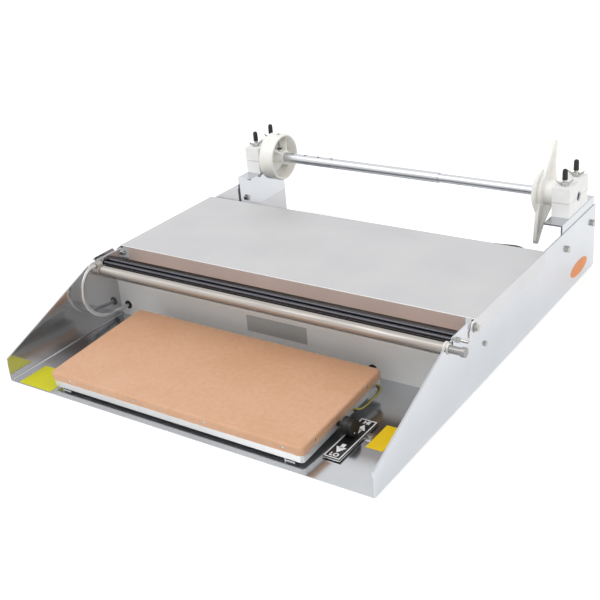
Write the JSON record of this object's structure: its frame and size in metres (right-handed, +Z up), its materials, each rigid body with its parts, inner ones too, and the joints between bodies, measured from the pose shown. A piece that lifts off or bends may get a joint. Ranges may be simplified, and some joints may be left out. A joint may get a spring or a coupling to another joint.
{
  "type": "countertop film wrapper",
  "caption": "Countertop stretch-film tray wrapper: open steel pan with tilted hot plate, hot cut-off rod, gripper strip, lift-up deck and roll axle on split bearing blocks.",
  "frame": {"origin": "centre of the base pan's footprint, on its underside", "axes": "+Z up, +Y from the operator's side to the roll at the rear, +X to the operator's right"},
  "size_m": [0.6952, 0.6654, 0.2004],
  "materials": {
    "grey_sheet": "satin grey finish on folded steel",
    "bright_sheet": "bright folded sheet",
    "zinc_screw": "zinc plated fasteners",
    "white_block": "machined white plastic",
    "ivory_plastic": "moulded ivory plastic",
    "black_plastic": "black moulded plastic",
    "black_rubber": "black rubber",
    "axle_steel": "polished tube",
    "rod_metal": "polished rod tube",
    "armour": "wound metal armour",
    "ceramic": "white ceramic insulation",
    "mineral_pad": "mineral fibre insulation",
    "mica": "mica sheet element",
    "aluminium_plate": "milled heating plate",
    "glass_cloth": "tan coated glass cloth",
    "wire_insulation": "wire insulation",
    "yellow_label": "plain yellow label",
    "orange_label": "plain orange label",
    "plain_plate": "plain pale plate",
    "brass_part": "brass"
  },
  "bodies": {
    "frame": {"base_pan": "grey_sheet", "riser_panel": "bright_sheet", "riser_grommets": "black_rubber", "pan_rivets": "zinc_screw", "wiring_cover": "bright_sheet", "side_screws": "zinc_screw", "terminal_block": "ceramic", "terminal_screws": "brass_part", "inner_leads": "wire_insulation", "name_plate": "plain_plate", "gripper_channel": "bright_sheet", "gripper_strip": "black_rubber", "end_plates": "grey_sheet", "channel_screws": "zinc_screw", "rod_tube": "rod_metal", "rod_heater": "rod_metal", "rod_bushes": "ceramic", "rod_socket": "rod_metal", "rod_end_cap": "rod_metal", "armoured_cable": "armour", "deck_pivot_bolts": "zinc_screw", "roll_brackets": "grey_sheet", "bracket_bolts": "zinc_screw", "lower_blocks": "white_block", "upper_blocks": "white_block", "block_studs": "zinc_screw", "stud_caps": "black_rubber", "plate_tray": "bright_sheet", "plate_feet": "bright_sheet", "floor_screws": "zinc_screw", "insulation_pad": "mineral_pad", "heating_element": "mica", "heating_plate": "aluminium_plate", "cloth_cover": "glass_cloth", "cover_rivets": "glass_cloth", "thermostat": "black_plastic", "thermostat_leads": "wire_insulation", "plate_lead": "wire_insulation", "legend_bracket": "bright_sheet", "legend_plate": "black_plastic", "floor_labels": "yellow_label", "side_label": "orange_label", "strain_relief": "black_rubber", "power_cord": "black_rubber", "cord_coil": "black_rubber", "cord_tie": "black_rubber", "power_plug": "black_rubber", "plug_pins": "brass_part"},
    "deck": {"deck_cover": "grey_sheet"},
    "axle": {"axle_tube": "axle_steel", "axle_rod": "axle_steel"},
    "wheel": {"core_wheel": "ivory_plastic"},
    "pin": {"core_pin": "zinc_screw"},
    "plug": {"core_plug": "ivory_plastic", "wing_flange": "ivory_plastic"},
    "knob": {"control_knob": "black_plastic"},
    "nut_left_front": {"wing_nut_left_front": "zinc_screw"},
    "nut_left_rear": {"wing_nut_left_rear": "zinc_screw"},
    "nut_right_front": {"wing_nut_right_front": "zinc_screw"},
    "nut_right_rear": {"wing_nut_right_rear": "zinc_screw"}
  },
  "joints": [
    {"name": "deck_lift", "type": "hinge", "parent": "frame", "child": "deck", "pos_m": [0, -0.088, 0.091], "axis": [1, 0, 0], "range_deg": [0, 37]},
    {"name": "axle_spin", "type": "hinge", "parent": "frame", "child": "axle", "pos_m": [0, 0.26, 0.133], "axis": [1, 0, 0], "continuous": true},
    {"name": "wheel_slide", "type": "slide", "parent": "axle", "child": "wheel", "axis": [1, 0, 0], "range_m": [0, 0.1016]},
    {"name": "pin_pull", "type": "slide", "parent": "wheel", "child": "pin", "axis": [0, 0, 1], "range_m": [-0.0015, 0.005]},
    {"name": "plug_slide", "type": "slide", "parent": "axle", "child": "plug", "axis": [-1, 0, 0], "range_m": [0, 0.1]},
    {"name": "knob_turn", "type": "hinge", "parent": "frame", "child": "knob", "pos_m": [0.2, -0.24081, 0.01664], "axis": [1, 0, 0], "range_deg": [0, 270]},
    {"name": "nut_left_front_turn", "type": "hinge", "parent": "frame", "child": "nut_left_front", "pos_m": [-0.265, 0.2385, 0.1575], "axis": [0, 0, 1], "range_deg": [0, 180]},
    {"name": "nut_left_rear_turn", "type": "hinge", "parent": "frame", "child": "nut_left_rear", "pos_m": [-0.265, 0.2815, 0.1575], "axis": [0, 0, 1], "range_deg": [0, 180]},
    {"name": "nut_right_front_turn", "type": "hinge", "parent": "frame", "child": "nut_right_front", "pos_m": [0.265, 0.2385, 0.1575], "axis": [0, 0, 1], "range_deg": [0, 180]},
    {"name": "nut_right_rear_turn", "type": "hinge", "parent": "frame", "child": "nut_right_rear", "pos_m": [0.265, 0.2815, 0.1575], "axis": [0, 0, 1], "range_deg": [0, 180]}
  ]
}
